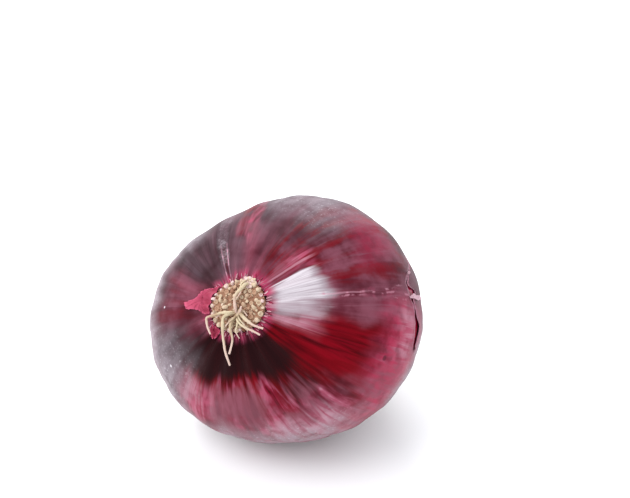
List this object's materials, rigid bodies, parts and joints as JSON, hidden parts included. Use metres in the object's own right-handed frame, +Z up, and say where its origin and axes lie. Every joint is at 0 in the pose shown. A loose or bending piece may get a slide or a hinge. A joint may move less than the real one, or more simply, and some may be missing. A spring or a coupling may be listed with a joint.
{
  "type": "red onion",
  "caption": "Whole red onion lying on its belly, with a torn papery skin, a root plate with dried roots at the raised front, and a short dry neck behind.",
  "frame": {"origin": "middle of the onion's box, on the surface that it lies on", "axes": "+Z up from the surface; +X to the right seen from the root end, along the onion's widest way; -Y towards the raised root end, +Y towards the neck"},
  "size_m": [0.0824, 0.0788, 0.0766],
  "materials": {
    "red_skin": "satin",
    "inner_skin": "satin",
    "dry_root": "matte",
    "dry_scrap": "satin"
  },
  "bodies": {
    "root": {"bulb": "inner_skin", "outer_skin": "red_skin", "root_plate": "dry_root", "skin_scrap_1": "dry_scrap", "skin_scrap_2": "dry_scrap"}
  },
  "joints": []
}
